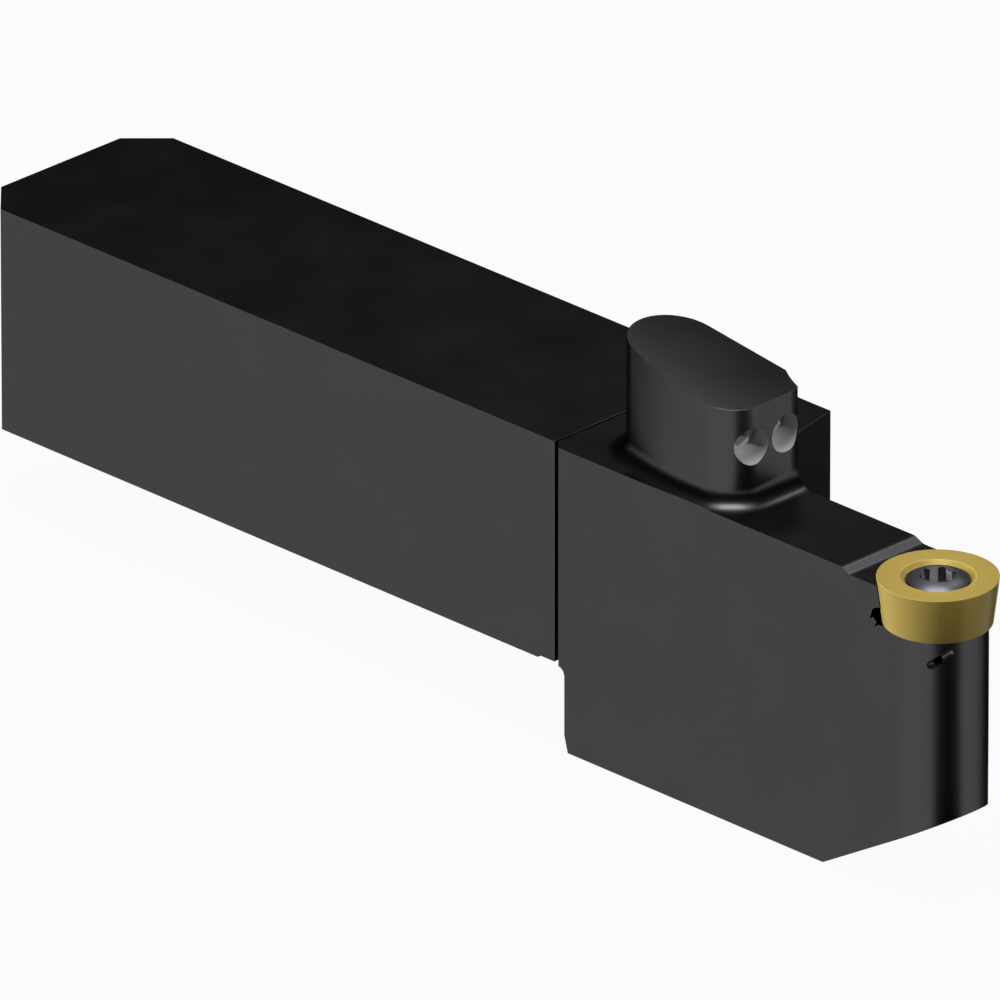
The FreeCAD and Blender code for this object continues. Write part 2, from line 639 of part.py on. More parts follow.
# Two plugs: one in the lower inlet, one in the drilling of the riser
PLUGS = [
    ("lower_inlet_plug", ("Sizes.lower_inlet_reach", "0", "-Places.shank_top")),
    ("riser_plug", ("Places.riser_reach", "Places.riser_side", "Places.head_bottom")),
]
PLUG_SIDE = "Sizes.inlet_thread / 2 - Sizes.plug_gap"
for label, spot in PLUGS:
    plug = turned_body(label, [
        ("0", "-Sizes.plug_sink - Sizes.plug_length"),
        (PLUG_SIDE, "-Sizes.plug_sink - Sizes.plug_length"),
        (PLUG_SIDE, "-Sizes.plug_sink - Sizes.plug_bevel"),
        (f"{PLUG_SIDE} - Sizes.plug_bevel", "-Sizes.plug_sink"),
        ("0", "-Sizes.plug_sink"),
    ], spot, tip="180")
    sunk(plug, label + "_socket", "-Sizes.plug_sink",
         hexagon("Sizes.plug_socket"), "Sizes.plug_socket_depth")

# Every object has to be sound before anything is written

doc.recompute()
failed = [item.Name for item in doc.Objects if {"Invalid", "Error"} & set(item.State)]
if failed:
    raise RuntimeError("failed: " + ", ".join(failed))

pieces = [item for item in doc.Objects if item.TypeId == "PartDesign::Body"]
for piece in pieces:
    if piece.Shape.isNull() or not piece.Shape.isValid() or len(piece.Shape.Solids) != 1:
        raise RuntimeError("not a sound solid: " + piece.Label)

os.makedirs("parts", exist_ok=True)
for piece in pieces:
    piece.Shape.exportStep(f"parts/{piece.Label}.step")
    print(f"{piece.Label}: {piece.Shape.Volume:.1f} mm3")
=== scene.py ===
import math

import bmesh
import bpy
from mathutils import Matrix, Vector
from mathutils.bvhtree import BVHTree
from mathutils.geometry import barycentric_transform


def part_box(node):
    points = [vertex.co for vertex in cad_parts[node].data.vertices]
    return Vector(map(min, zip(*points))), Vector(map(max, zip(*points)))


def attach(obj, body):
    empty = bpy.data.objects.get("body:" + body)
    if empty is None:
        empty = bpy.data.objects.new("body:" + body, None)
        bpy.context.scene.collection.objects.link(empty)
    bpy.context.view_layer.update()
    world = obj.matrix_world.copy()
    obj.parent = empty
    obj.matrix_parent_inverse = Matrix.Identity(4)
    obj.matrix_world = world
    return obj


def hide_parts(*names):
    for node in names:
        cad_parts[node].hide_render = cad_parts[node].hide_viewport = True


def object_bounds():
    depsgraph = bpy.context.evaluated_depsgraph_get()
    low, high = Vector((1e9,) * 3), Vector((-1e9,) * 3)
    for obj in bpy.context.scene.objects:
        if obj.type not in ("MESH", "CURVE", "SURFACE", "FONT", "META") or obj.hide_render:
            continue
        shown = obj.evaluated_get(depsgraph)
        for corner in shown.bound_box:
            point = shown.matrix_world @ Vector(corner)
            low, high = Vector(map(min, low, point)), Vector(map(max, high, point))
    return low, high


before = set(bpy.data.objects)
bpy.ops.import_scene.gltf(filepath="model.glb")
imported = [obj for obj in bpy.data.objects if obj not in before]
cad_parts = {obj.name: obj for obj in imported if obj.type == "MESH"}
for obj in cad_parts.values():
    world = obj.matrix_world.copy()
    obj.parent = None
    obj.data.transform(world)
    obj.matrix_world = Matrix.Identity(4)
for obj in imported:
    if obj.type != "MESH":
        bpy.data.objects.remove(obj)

# Left-hand turning tool holder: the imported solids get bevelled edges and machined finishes

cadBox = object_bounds()
millimetre = 0.001
print("stage 1: frame loaded,", len(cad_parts), "nodes")


# Colours and nodes

def toLinear(hexColour):
    channels = [int(hexColour[place:place + 2], 16) / 255 for place in (1, 3, 5)]
    return [c / 12.92 if c <= 0.04045 else ((c + 0.055) / 1.055) ** 2.4 for c in channels] + [1.0]


def addNode(tree, kind, settings=None, inputs=None):
    # settings are the node's own fields; inputs are values, or sockets to link from
    node = tree.nodes.new(kind)
    for field, value in (settings or {}).items():
        setattr(node, field, value)
    for socket, value in (inputs or {}).items():
        if isinstance(value, bpy.types.NodeSocket):
            tree.links.new(value, node.inputs[socket])
        else:
            node.inputs[socket].default_value = value
    return node


def newMaterial(name):
    material = bpy.data.materials.new(name)
    material.use_nodes = True
    material.node_tree.nodes.clear()
    return material, material.node_tree


# Machined finishes. Every look starts from the metal and how its surface was made.

# In every look the worn colour lightens the bevel strips as edge wear and a painted highlight line,
# and the bare colour lightens drilled walls as bare steel and painted light
blackOxide = {
    "name": "blackOxideMilledSteel",  # milled, then chemically blackened: dark, with a satin sheen
    "colour": "#4A4A4C",
    "wornAndHighlightColour": "#6C6C70",  # where the black is rubbed off the edges, and a painted highlight line along them
    "bareAndLitColour": "#B4B4B6",  # drilled after blackening, and lighter in the recesses as a painted highlight
    "bareMetallic": 0.2,
    "bareRoughness": 0.45,
    "edgeTint": "#6A6A6A",  # a thin oxide stays dark where it is seen at a flat angle
    "roughness": 0.33,
    "specular": 0.5,
    "metallic": 1.0,
    "grainMm": 0.09,
    "grainDepth": 0.015,
    "lineMm": 0.16,  # cutter lines along the tool, drawn at this spacing to show at all
    "lineDepth": 0.01,
    "patchMm": 9.0,
    "patchRange": 0.02,
}
goldNitride = {
    "name": "goldNitrideOnGroundCarbide",  # ground carbide under a thin gold hard coating: satin
    "colour": "#AA944A",
    "wornAndHighlightColour": "#D3C283",
    "bareAndLitColour": "#AA944A",
    "edgeTint": "#FFFFFF",
    "roughness": 0.34,
    "specular": 0.12,
    "metallic": 0.12,
    "grainMm": 0.06,
    "grainDepth": 0.03,
    "lineMm": 0.12,
    "lineDepth": 0.02,
    "patchMm": 4.0,
    "patchRange": 0.03,
}
turnedScrew = {
    "name": "turnedScrewSteel",  # cold-headed and turned steel, lightly oiled
    "colour": "#606166",
    "wornAndHighlightColour": "#74757A",
    "bareAndLitColour": "#A6A6A9",  # where the driver rubs the socket's ridges, lighter there also as painted light
    "bareMetallic": 0.2,
    "bareRoughness": 0.5,
    "edgeTint": "#707070",
    "roughness": 0.37,
    "specular": 0.5,
    "metallic": 0.8,
    "grainMm": 0.05,
    "grainDepth": 0.03,
    "lineMm": 0.1,
    "lineDepth": 0.0,
    "patchMm": 2.0,
    "patchRange": 0.04,
}
turnedNozzle = {
    "name": "turnedNozzleSteel",  # small turned piece, left bright
    "colour": "#A9A9AC",
    "wornAndHighlightColour": "#D0D0D2",
    "bareAndLitColour": "#A9A9AC",
    "edgeTint": "#FFFFFF",
    "roughness": 0.45,
    "specular": 0.5,
    "metallic": 0.5,
    "grainMm": 0.05,
    "grainDepth": 0.03,
    "lineMm": 0.1,
    "lineDepth": 0.0,
    "patchMm": 2.0,
    "patchRange": 0.04,
}
plugSteel = {
    "name": "blackOxideTurnedPlug",  # turned plug, blackened
    "colour": "#4A4A4C",
    "wornAndHighlightColour": "#8A8A8E",
    "bareAndLitColour": "#4A4A4C",
    "edgeTint": "#8A8A8A",
    "roughness": 0.34,
    "specular": 0.5,
    "metallic": 1.0,
    "grainMm": 0.08,
    "grainDepth": 0.04,
    "lineMm": 0.1,
    "lineDepth": 0.0,
    "patchMm": 3.0,
    "patchRange": 0.04,
}


finishRule = {
    "grainCoarser": 4,  # grain and lines are drawn this many times coarser, to show at all
    "lineCoarser": 2,
    "lineStretch": (0.02, 1.0, 1.0),  # cutter lines run along the tool
    "patchSpan": (0.3, 0.7),  # the noise seldom leaves this part of its range
}


def machinedFinish(look):
    material, tree = newMaterial(look["name"])
    place = addNode(tree, "ShaderNodeTexCoord")
    grain = addNode(tree, "ShaderNodeTexNoise", inputs={
        "Vector": place.outputs["Object"],
        "Scale": 1 / (look["grainMm"] * finishRule["grainCoarser"] * millimetre),
        "Detail": 3.0,
        "Roughness": 0.6,
    })
    alongTool = addNode(tree, "ShaderNodeMapping", inputs={
        "Vector": place.outputs["Object"], "Scale": finishRule["lineStretch"]})
    lines = addNode(tree, "ShaderNodeTexNoise", inputs={
        "Vector": alongTool.outputs["Vector"],
        "Scale": 1 / (look["lineMm"] * finishRule["lineCoarser"] * millimetre),
        "Detail": 2.0,
    })
    patches = addNode(tree, "ShaderNodeTexNoise", inputs={
        "Vector": place.outputs["Object"],
        "Scale": 1 / (look["patchMm"] * millimetre),
        "Detail": 2.0,
    })
    # painted light: the edge share gives bevel strips the lighter worn colour as wear and a painted
    # highlight line, and the bare share gives bore and socket walls a lighter colour as bare steel
    # and painted light
    edgeWearAndHighlight = addNode(tree, "ShaderNodeAttribute", {"attribute_name": "wornEdgeAndHighlight"})
    bareAndLit = addNode(tree, "ShaderNodeAttribute", {"attribute_name": "bareSteelAndPaintedLight"})
    wearAndHighlight = addNode(tree, "ShaderNodeMath", {"operation": "MULTIPLY"}, {
        0: edgeWearAndHighlight.outputs["Fac"], 1: patches.outputs["Fac"]})
    wornAndHighlightColour = addNode(tree, "ShaderNodeMix", {"data_type": "RGBA"}, {
        "Factor": wearAndHighlight.outputs[0],
        "A": toLinear(look["colour"]),
        "B": toLinear(look["wornAndHighlightColour"]),
    })
    colour = addNode(tree, "ShaderNodeMix", {"data_type": "RGBA"}, {
        "Factor": bareAndLit.outputs["Fac"],
        "A": wornAndHighlightColour.outputs["Result"],
        "B": toLinear(look["bareAndLitColour"]),
    })
    coated = addNode(tree, "ShaderNodeMapRange", inputs={
        "Value": patches.outputs["Fac"],
        "From Min": finishRule["patchSpan"][0],
        "From Max": finishRule["patchSpan"][1],
        "To Min": look["roughness"] - look["patchRange"],
        "To Max": look["roughness"] + look["patchRange"],
    })
    roughness, metallic = coated.outputs["Result"], look["metallic"]
    if "bareRoughness" in look:  # inputs 0, 2 and 3 are the share and the two numbers to mix
        mixedRoughness = addNode(tree, "ShaderNodeMix", {"data_type": "FLOAT"}, {
            0: bareAndLit.outputs["Fac"], 2: coated.outputs["Result"], 3: look["bareRoughness"]})
        mixedMetallic = addNode(tree, "ShaderNodeMix", {"data_type": "FLOAT"}, {
            0: bareAndLit.outputs["Fac"], 2: look["metallic"], 3: look["bareMetallic"]})
        roughness, metallic = mixedRoughness.outputs[0], mixedMetallic.outputs[0]
    cutterLines = addNode(tree, "ShaderNodeBump", inputs={
        "Height": lines.outputs["Fac"],
        "Strength": look["lineDepth"],
        "Distance": look["lineMm"] * millimetre,
    })
    relief = addNode(tree, "ShaderNodeBump", inputs={
        "Height": grain.outputs["Fac"],
        "Strength": look["grainDepth"],
        "Distance": look["grainMm"] * millimetre,
        "Normal": cutterLines.outputs["Normal"],
    })
    surface = addNode(tree, "ShaderNodeBsdfPrincipled", inputs={
        "Base Color": colour.outputs["Result"],
        "Metallic": metallic,
        "Specular IOR Level": look["specular"],
        "Specular Tint": toLinear(look["edgeTint"]),
        "Roughness": roughness,
        "Normal": relief.outputs["Normal"],
    })
    addNode(tree, "ShaderNodeOutputMaterial", inputs={"Surface": surface.outputs["BSDF"]})
    return material


# Every solid keeps its form, and each edge that is sharp on it gets a fine bevel

pieces = {
    "holder_body": {"look": blackOxide, "bevelMm": 0.06, "slot": "black_oxide_steel"},
    "round_insert": {"look": goldNitride, "bevelMm": 0.05, "slot": "gold_coated_carbide"},
    "insert_screw": {"look": turnedScrew, "bevelMm": 0.03, "slot": "dark_screw_steel"},
    "coolant_nozzle_near": {"look": turnedNozzle, "bevelMm": 0.03, "slot": "nozzle_steel"},
    "coolant_nozzle_back": {"look": turnedNozzle, "bevelMm": 0.03, "slot": "nozzle_steel"},
    "lower_inlet_plug": {"look": plugSteel, "bevelMm": 0.06, "slot": "plug_steel"},
    "riser_plug": {"look": plugSteel, "bevelMm": 0.06, "slot": "plug_steel"},
}
edgeRule = {
    "mergeMm": 0.0005,  # corners rounded to the same step of this size are one spot
    "weldMm": 0.000125,  # and nearer than this they become one
    "sharpDegrees": 12.0,  # corner normals that differ by more make a sharp edge
    "creaseDegrees": 1.0,  # and between two flats this is enough
    "flatDegrees": 0.05,
    "segments": 2,
}
softEdges = {  # the ramp before the insert: its upper and lower edges are rounded over
    "bevelMm": 0.35,
    "alongMm": (160.3, 162.9),
    "levelsMm": (15.7, 15.0),
    "slackMm": 0.06,
    "plainEdgesFromMm": 14.5,  # no edge of the ramp above this gets the worn colour and painted highlight line
}
noseRound = {  # the upright round of the nose, under the insert
    "axisMm": (171.45, -9.835),
    "radiusMm": 6.765,
    "slackMm": 0.08,
    "upright": 0.15,  # the most that a normal there may point up or down
    "agree": 0.97,  # and the least that it must point away from the axis
}
outletSlot = {  # its edges stay unbevelled, because a bevel there folds the nose's narrow facets
    "lowMm": (173.0, -17.0, 4.6),
    "highMm": (178.6, -4.0, 8.6),
    # the slot's walls are partly lighter: bare steel and a painted highlight
    "bareAndLitShare": 0.35,
    "insideMm": 6.7,  # what is nearer than this to the nose's axis is the slot's own wall
}
screwDome = {  # the head swells a little more than on its solid, as the photographed one does
    "liftMm": 0.7,
    "reachMm": 4.25,
    "depthMm": 0.9,  # below the top of the head nothing moves from here down
}
socketRidges = {"withinMm": 2.1, "upright": 0.3}  # between the lobes of the screw's socket
nozzleBores = {  # their axes turn towards the insert and dip to it
    "turnDegrees": {"coolant_nozzle_near": -5.3, "coolant_nozzle_back": -0.5},
    "dipDegrees": 11.5,
    "radiusMm": 2.6,
    "slackMm": 0.12,
    "reachMm": 9.0,
}


def spotOf(point):
    step = edgeRule["mergeMm"] * millimetre
    return tuple(round(c / step) for c in point)


def isFlat(polygon, normals):
    # a triangle of a plane: its corner normals are its own normal
    limit = math.cos(math.radians(edgeRule["flatDegrees"]))
    return all(normal.dot(polygon.normal) > limit for normal in normals)


def isSoft(point):
    x, z = point[0] / millimetre, point[2] / millimetre
    nearLevel = min(abs(z - level) for level in softEdges["levelsMm"]) < softEdges["slackMm"]
    return softEdges["alongMm"][0] < x < softEdges["alongMm"][1] and nearLevel


def inSlot(point):
    low, high = outletSlot["lowMm"], outletSlot["highMm"]
    return all(low[n] < point[n] / millimetre < high[n] for n in range(3))


def sharpEdges(mesh):
    # edges with different normals on their two faces, and for every other edge its faces
    sharpLimit = math.cos(math.radians(edgeRule["sharpDegrees"]))
    creaseLimit = math.cos(math.radians(edgeRule["creaseDegrees"]))
    seen = {}
    sharp = set()
    joined = []
    for polygon in mesh.polygons:
        loops = list(polygon.loop_indices)
        spots = [spotOf(mesh.vertices[mesh.loops[i].vertex_index].co) for i in loops]
        normals = [mesh.corner_normals[i].vector.copy() for i in loops]
        flat = isFlat(polygon, normals)
        for place in range(len(loops)):
            after = (place + 1) % len(loops)
            ends = {spots[place]: normals[place], spots[after]: normals[after]}
            key = frozenset(ends)
            if key not in seen:
                seen[key] = (ends, polygon.index, flat)
                continue
            otherEnds, otherFace, otherFlat = seen[key]
            limit = creaseLimit if flat and otherFlat else sharpLimit
            if any(otherEnds[spot].dot(ends[spot]) < limit for spot in key):
                sharp.add(key)
            else:
                joined.append((polygon.index, otherFace))
    return sharp, joined


def smoothRegions(count, joined):
    # one number for all the faces that run smoothly into each other
    parent = list(range(count))

    def rootOf(face):
        while parent[face] != face:
            parent[face] = parent[parent[face]]
            face = parent[face]
        return face

    for one, other in joined:
        parent[rootOf(one)] = rootOf(other)
    return [rootOf(face) for face in range(count)]


def regionNormals(mesh, regions):
    # for each region, its triangles in a search tree, with one normal at each spot: that of
    # the flat where a round runs into one, and the mean elsewhere, so that no seam shows
    found = {}
    for polygon in mesh.polygons:
        found.setdefault(regions[polygon.index], []).append(polygon)
    trees = {}
    for region, polygons in found.items():
        points = []
        spots = []
        flatNormal = {}
        total = {}
        for polygon in polygons:
            own = [mesh.corner_normals[loop].vector.copy() for loop in polygon.loop_indices]
            flat = isFlat(polygon, own)
            for loop, normal in zip(polygon.loop_indices, own):
                point = mesh.vertices[mesh.loops[loop].vertex_index].co.copy()
                spot = spotOf(point)
                points.append(point)
                spots.append(spot)
                total[spot] = total.get(spot, Vector()) + normal
                if flat:
                    flatNormal.setdefault(spot, normal)
        normals = [flatNormal.get(spot, total[spot]).normalized() for spot in spots]
        corners = [(3 * n, 3 * n + 1, 3 * n + 2) for n in range(len(polygons))]
        trees[region] = (BVHTree.FromPolygons(points, corners), points, normals)
    return trees


def exactNormal(tree, point):
    search, points, normals = tree
    location, _, triangle, _ = search.find_nearest(point)
    first = 3 * triangle
    normal = barycentric_transform(location, *points[first:first + 3], *normals[first:first + 3])
    return normal.normalized()


def roundNormal(point, normal):
    # on the nose's upright round the normal comes from its axis, which is truer than the facets
    across = Vector((point[0], point[1], 0)) - Vector(noseRound["axisMm"] + (0,)) * millimetre
    offRound = abs(across.length - noseRound["radiusMm"] * millimetre)
    if offRound < noseRound["slackMm"] * millimetre and abs(normal.z) < noseRound["upright"]:
        if across.normalized().dot(normal) > noseRound["agree"]:
            return across.normalized()
    return normal


def setNormals(mesh, trees):
    # flat and curved faces keep the solid's normals; a bevel's strip runs from one to the other
    region = mesh.attributes["region"].data
    normals = [Vector((0, 0, 1)) for _ in mesh.loops]
    around = {}
    strips = []
    stripSum = {}
    for polygon in mesh.polygons:
        if polygon.material_index == 1:
            strips.append(polygon)
            for vertex in polygon.vertices:
                share = polygon.normal * polygon.area
                stripSum[vertex] = stripSum.get(vertex, Vector()) + share
            continue
        tree = trees[region[polygon.index].value]
        for loop in polygon.loop_indices:
            vertex = mesh.loops[loop].vertex_index
            place = mesh.vertices[vertex].co
            normals[loop] = roundNormal(place, exactNormal(tree, place))
            around.setdefault(vertex, []).append(normals[loop])
    for polygon in strips:
        for loop in polygon.loop_indices:
            vertex = mesh.loops[loop].vertex_index
            known = around.get(vertex)
            if known:
                normals[loop] = max(known, key=polygon.normal.dot)
            elif stripSum[vertex].length > 0:
                normals[loop] = stripSum[vertex].normalized()
    # bevel strips take the lighter worn colour: edge wear and a painted highlight line
    edgeWearAndHighlight = mesh.attributes.new("wornEdgeAndHighlight", "FLOAT", "FACE")
    first, last = softEdges["alongMm"]
    for polygon in strips:
        x, z = polygon.center.x / millimetre, polygon.center.z / millimetre
        onRamp = first < x < last and z > softEdges["plainEdgesFromMm"]
        edgeWearAndHighlight.data[polygon.index].value = 0.0 if onRamp else 1.0
    mesh.normals_split_custom_set(normals)


def domedCopy(mesh, low, high):
    # a copy of the screw whose head swells towards its axis; the shank and the rim stay
    copy = mesh.copy()
    centre = (Vector(low) + Vector(high)) / 2
    lift = screwDome["liftMm"] * millimetre
    reach = screwDome["reachMm"] * millimetre
    bottom = high[2] - screwDome["depthMm"] * millimetre
    normals = [corner.vector.copy() for corner in copy.corner_normals]
    for number, loop in enumerate(copy.loops):
        across = mesh.vertices[loop.vertex_index].co - centre
        across.z = 0
        if across.length < reach and mesh.vertices[loop.vertex_index].co.z > bottom:
            fall = -2 * lift / reach ** 2 * across
            normals[number] = (normals[number] - normals[number].z * fall).normalized()
    for vertex in copy.vertices:
        across = (vertex.co - centre).to_2d().length
        if across < reach and vertex.co.z > bottom:
            vertex.co.z += lift * (1 - (across / reach) ** 2)
    copy.normals_split_custom_set(normals)
    return copy


def dressedPiece(nodeName, bevelMm, finish):
    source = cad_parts[nodeName].data
    if nodeName == "insert_screw":
        source = domedCopy(source, *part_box(nodeName))
    sharp, joined = sharpEdges(source)
    regions = smoothRegions(len(source.polygons), joined)
    work = bmesh.new()
    work.from_mesh(source)
    regionLayer = work.faces.layers.int.new("region")
    for face, region in zip(work.faces, regions):
        face[regionLayer] = region
        face.smooth = True
    bmesh.ops.remove_doubles(work, verts=work.verts, dist=edgeRule["weldMm"] * millimetre)
    weight = work.edges.layers.float.new("bevel_weight_edge")
    isHolder = nodeName == "holder_body"
    widest = softEdges["bevelMm"] if isHolder else bevelMm
    for edge in work.edges:
        edge.smooth = True
        edge[weight] = 0.0
        if frozenset(spotOf(vert.co) for vert in edge.verts) not in sharp:
            continue
        rise = abs(edge.verts[0].co.z - edge.verts[1].co.z)
        level = rise < softEdges["slackMm"] * millimetre
        soft = isHolder and level and all(isSoft(vert.co) for vert in edge.verts)
        if not isHolder or not all(inSlot(vert.co) for vert in edge.verts):
            edge[weight] = 1.0 if soft else bevelMm / widest
    inside = [edge for edge in work.edges if edge[weight] == 0.0]
    bmesh.ops.dissolve_limit(
        work, angle_limit=math.radians(edgeRule["flatDegrees"]),
        verts=[], edges=inside, use_dissolve_boundaries=False)
    mesh = bpy.data.meshes.new(nodeName + "Plain")
    work.to_mesh(mesh)
    work.free()
    mesh.materials.append(finish)
    mesh.materials.append(finish)  # the second slot marks the bevel's own faces
    piece = bpy.data.objects.new(nodeName + "Dressed", mesh)
    bpy.context.scene.collection.objects.link(piece)
    bevel = piece.modifiers.new("fineEdges", "BEVEL")
    bevel.width = widest * millimetre
    bevel.segments = edgeRule["segments"]
    bevel.limit_method = "WEIGHT"
    bevel.use_clamp_overlap = False
    bevel.material = 1
    evaluated = piece.evaluated_get(bpy.context.evaluated_depsgraph_get())
    dressed = bpy.data.meshes.new_from_object(evaluated)
    piece.modifiers.clear()
    piece.data = dressed
    dressed.name = nodeName + "Dressed"
    setNormals(dressed, regionNormals(source, regions))
    for polygon in dressed.polygons:
        polygon.material_index = 0
    dressed.materials.pop(index=1)
    dressed.attributes.remove(dressed.attributes["region"])
    return piece


def markBores(mesh):
    # the walls of the nozzles' recesses and of the outlet slot, drilled after blackening and
    # lighter as a painted highlight on them
    bareAndLit = mesh.attributes.new("bareSteelAndPaintedLight", "FLOAT", "FACE")
    edgeWearAndHighlight = mesh.attributes["wornEdgeAndHighlight"].data
    radius, slack = nozzleBores["radiusMm"] * millimetre, nozzleBores["slackMm"] * millimetre
    deepest = nozzleBores["reachMm"] * millimetre
    dip = math.radians(nozzleBores["dipDegrees"])
    for nodeName, turnDegrees in nozzleBores["turnDegrees"].items():
        low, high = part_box(nodeName)
        centre = (Vector(low) + Vector(high)) / 2
        turn = math.radians(turnDegrees)
        ahead = Vector((math.cos(turn), math.sin(turn), 0))
        axis = ahead * math.cos(dip) - Vector((0, 0, math.sin(dip)))
        for polygon in mesh.polygons:
            reach = polygon.center - centre
            along = reach.dot(axis)
            across = (reach - axis * along).length
            onWall = abs(across - radius) < slack and abs(along) < deepest
            if onWall and edgeWearAndHighlight[polygon.index].value == 0.0:
                bareAndLit.data[polygon.index].value = 1.0
    axis = Vector(noseRound["axisMm"] + (0,)) * millimetre
    for polygon in mesh.polygons:
        inside = (polygon.center - axis).to_2d().length < outletSlot["insideMm"] * millimetre
        if inside and inSlot(polygon.center):
            bareAndLit.data[polygon.index].value = outletSlot["bareAndLitShare"]


def markSocket(mesh, low, high):
    # the ridges of the screw's socket, lighter as rubbed by the driver and as painted light on
    # their walls
    bareAndLit = mesh.attributes.new("bareSteelAndPaintedLight", "FLOAT", "FACE")
    centre = (Vector(low) + Vector(high)) / 2
    for polygon in mesh.polygons:
        across = polygon.center - centre
        across.z = 0
        upright = abs(polygon.normal.z) < socketRidges["upright"]
        inward = polygon.normal.dot(across) < 0
        if upright and inward and across.length < socketRidges["withinMm"] * millimetre:
            bareAndLit.data[polygon.index].value = 1.0


finishes = {}
for nodeName, piece in pieces.items():
    look = piece["look"]
    if look["name"] not in finishes:
        finishes[look["name"]] = machinedFinish(look)
    dressed = dressedPiece(nodeName, piece["bevelMm"], finishes[look["name"]])
    if nodeName == "holder_body":
        markBores(dressed.data)
    if nodeName == "insert_screw":
        markSocket(dressed.data, *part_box(nodeName))
    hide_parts(nodeName)
    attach(dressed, "root")
    print("  dressed", nodeName, len(dressed.data.polygons), "faces")
print("stage 2: solids dressed")


# Pale floor with a low rim all round, so that a level view ends in the same colour

stageLook = {
    "radius": 2.3,
    "rimHeight": 0.15,
    "coveRadius": 0.12,
    "steps": 96,
    "coveSteps": 6,
    "dropMm": 0.02,
    "colour": "#8C8C8C",
    "whiteShare": 0.95,
}


def paleStage():
    lowest = cadBox[0].z - stageLook["dropMm"] * millimetre
    radius, cove = stageLook["radius"], stageLook["coveRadius"]
    profile = [(0.0, 0.0)]
    for number in range(stageLook["coveSteps"] + 1):
        angle = math.pi / 2 * number / stageLook["coveSteps"]
        profile.append((radius - cove + cove * math.sin(angle), cove - cove * math.cos(angle)))
    profile.append((radius, stageLook["rimHeight"]))
    work = bmesh.new()
    centre = work.verts.new((0, 0, lowest))
    rings = []
    for reach, height in profile[1:]:
        ring = []
        for number in range(stageLook["steps"]):
            turn = 2 * math.pi * number / stageLook["steps"]
            x, y = reach * math.cos(turn), reach * math.sin(turn)
            ring.append(work.verts.new((x, y, lowest + height)))
        rings.append(ring)
    for number in range(stageLook["steps"]):
        after = (number + 1) % stageLook["steps"]
        work.faces.new((centre, rings[0][number], rings[0][after]))
        for inner, outer in zip(rings, rings[1:]):
            work.faces.new((inner[number], outer[number], outer[after], inner[after]))
    for face in work.faces:
        face.smooth = True
    mesh = bpy.data.meshes.new("paleStage")
    work.to_mesh(mesh)
    work.free()
    stage = bpy.data.objects.new("paleStage", mesh)
    bpy.context.scene.collection.objects.link(stage)

    material, tree = newMaterial("paleSeamlessPaper")
    ray = addNode(tree, "ShaderNodeLightPath")
    side = addNode(tree, "ShaderNodeNewGeometry")
    glossOrCamera = addNode(tree, "ShaderNodeMath", {"operation": "MAXIMUM"}, {
        0: ray.outputs["Is Camera Ray"], 1: ray.outputs["Is Glossy Ray"]})
    seen = addNode(tree, "ShaderNodeMath", {"operation": "MAXIMUM"}, {
        0: glossOrCamera.outputs[0], 1: ray.outputs["Is Transmission Ray"]})
    share = addNode(tree, "ShaderNodeMath", {"operation": "MULTIPLY"}, {
        0: seen.outputs[0], 1: stageLook["whiteShare"]})
    paper = addNode(tree, "ShaderNodeBsdfDiffuse", inputs={"Color": toLinear(stageLook["colour"])})
    white = addNode(tree, "ShaderNodeEmission", inputs={"Strength": 1.0})
    mixed = addNode(tree, "ShaderNodeMixShader", inputs={
        0: share.outputs[0], 1: paper.outputs[0], 2: white.outputs[0]})
    clear = addNode(tree, "ShaderNodeBsdfTransparent")
    oneSided = addNode(tree, "ShaderNodeMixShader", inputs={
        0: side.outputs["Backfacing"], 1: mixed.outputs[0], 2: clear.outputs[0]})
    addNode(tree, "ShaderNodeOutputMaterial", inputs={"Surface": oneSided.outputs[0]})
    mesh.materials.append(material)


paleStage()

# Lamps, beams and a dim surround. Strength 1 shows white paper as white when it faces the lamp.
# A matt lamp lights matt surfaces only and is not mirrored in metal.

middleMm = (89.6, 0.0, 0.0)
lampDistance = 1.0
lamps = {
    "overheadLamp": {"azimuth": 45, "elevation": 85, "size": 0.7, "strength": 1.0},
    "backLamp": {"azimuth": 223, "elevation": 49, "size": 0.16, "strength": 0.035},
    "backRightLamp": {"azimuth": 190, "elevation": 49, "size": 0.2, "strength": 0.07},
    "nearSideFill": {"azimuth": -48, "elevation": 5, "size": 0.5, "strength": 2.0, "matt": True},
}
beamLook = {"coneDegrees": 1.0, "blend": 0.2, "radius": 0.006}
beams = {  # narrow and matt, into the two nozzle recesses and into the screw's socket
    "recessBeam": {"azimuth": 100, "elevation": 24, "aimMm": (137.0, -8.0, 26.0),
                   "distance": 1.0, "strength": 1.0},
    "socketBeam": {"azimuth": 50, "elevation": 42, "aimMm": (172.0, -10.2, 15.5),
                   "distance": 0.55, "strength": 0.7},
}
flagLook = {  # black cards on the floor, seen only in gloss: they draw the dark bands of rounds
    "noseFlag": {"centreMm": (171.5, -9.8), "azimuths": (40, 95), "radius": 0.4},
    "stepFlag": {"centreMm": (143.0, 0.0), "azimuths": (146, 178), "radius": 0.15},
    "liftMm": 0.05,
    "steps": 12,
    "colour": "#060606",
}
surround = {"colour": "#404040", "strength": 0.25}


def direction(azimuth, elevation):
    # azimuth turns from the near side towards the insert end
    around, up = math.radians(azimuth), math.radians(elevation)
    return Vector((math.sin(around) * math.cos(up), -math.cos(around) * math.cos(up), math.sin(up)))


def hangLight(name, data, look, aimMm, distance):
    light = bpy.data.objects.new(name, data)
    towards = direction(look["azimuth"], look["elevation"])
    light.location = Vector(aimMm) * millimetre + towards * distance
    light.rotation_euler = towards.to_track_quat("Z", "Y").to_euler()
    light.visible_camera = False
    bpy.context.scene.collection.objects.link(light)
    return light


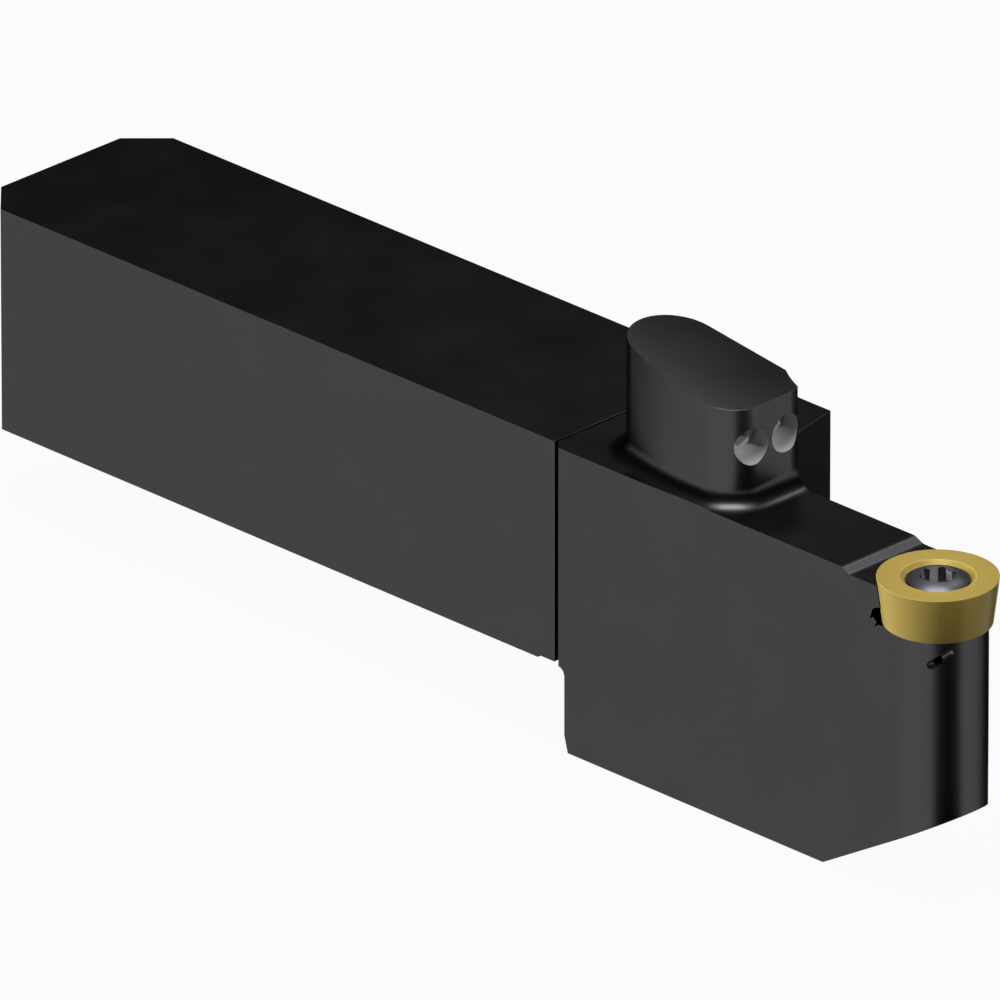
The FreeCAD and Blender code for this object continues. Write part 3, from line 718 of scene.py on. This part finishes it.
for name, look in lamps.items():
    data = bpy.data.lights.new(name, "AREA")
    data.shape = "DISK"
    data.size = look["size"]
    data.energy = look["strength"] * math.pi ** 2 * lampDistance ** 2
    light = hangLight(name, data, look, middleMm, lampDistance)
    light.visible_glossy = "matt" not in look

for name, look in beams.items():
    data = bpy.data.lights.new(name, "SPOT")
    data.spot_size = math.radians(beamLook["coneDegrees"])
    data.spot_blend = beamLook["blend"]
    data.shadow_soft_size = beamLook["radius"]
    data.energy = look["strength"] * 4 * math.pi ** 2 * look["distance"] ** 2
    light = hangLight(name, data, look, look["aimMm"], look["distance"])
    light.visible_glossy = False


def darkFlag(name, material):
    place = flagLook[name]
    centre = Vector(place["centreMm"] + (0.0,)) * millimetre
    centre.z = cadBox[0].z + flagLook["liftMm"] * millimetre
    first, last = place["azimuths"]
    points = [centre]
    for number in range(flagLook["steps"] + 1):
        towards = direction(first + (last - first) * number / flagLook["steps"], 0)
        points.append(centre + towards * place["radius"])
    mesh = bpy.data.meshes.new(name)
    mesh.from_pydata([tuple(p) for p in points], [], [
        (0, number, number + 1) for number in range(1, flagLook["steps"] + 1)])
    mesh.materials.append(material)
    flag = bpy.data.objects.new(name, mesh)
    bpy.context.scene.collection.objects.link(flag)
    flag.visible_camera = False
    flag.visible_diffuse = False
    flag.visible_transmission = False
    flag.visible_shadow = False


flockedCard, cardTree = newMaterial("blackFlockedCard")
flock = addNode(cardTree, "ShaderNodeBsdfDiffuse", inputs={"Color": toLinear(flagLook["colour"])})
addNode(cardTree, "ShaderNodeOutputMaterial", inputs={"Surface": flock.outputs[0]})
darkFlag("noseFlag", flockedCard)
darkFlag("stepFlag", flockedCard)

world = bpy.data.worlds.new("dimStudio")
bpy.context.scene.world = world
world.use_nodes = True
background = world.node_tree.nodes["Background"]
background.inputs["Color"].default_value = toLinear(surround["colour"])
background.inputs["Strength"].default_value = surround["strength"]
bpy.context.scene.view_settings.view_transform = "Standard"
print("stage 3: stage and lamps set")


# Camera at the photograph's angle, aimed a little off the middle of the tool

cameraLook = {
    "azimuth": 44.95,
    "elevation": 24.97,
    "distance": 4.6253,
    "lens": 1273.9,
    "sensor": 36.0,
    "aimRightMm": -5.35,
    "aimUpMm": -3.40,
    "clip": (0.1, 20.0),
}
back = direction(cameraLook["azimuth"], cameraLook["elevation"])
rightWay = direction(cameraLook["azimuth"] + 90, 0)
upWay = back.cross(rightWay)
offMiddle = rightWay * cameraLook["aimRightMm"] + upWay * cameraLook["aimUpMm"]
aim = (Vector(middleMm) + offMiddle) * millimetre
cameraData = bpy.data.cameras.new("photoCamera")
cameraData.lens = cameraLook["lens"]
cameraData.sensor_width = cameraLook["sensor"]
cameraData.clip_start, cameraData.clip_end = cameraLook["clip"]
camera = bpy.data.objects.new("photoCamera", cameraData)
camera.location = aim + back * cameraLook["distance"]
camera.rotation_mode = "QUATERNION"
camera.rotation_quaternion = back.to_track_quat("Z", "Y")
bpy.context.scene.collection.objects.link(camera)
bpy.context.scene.camera = camera
print("stage 4: camera set")
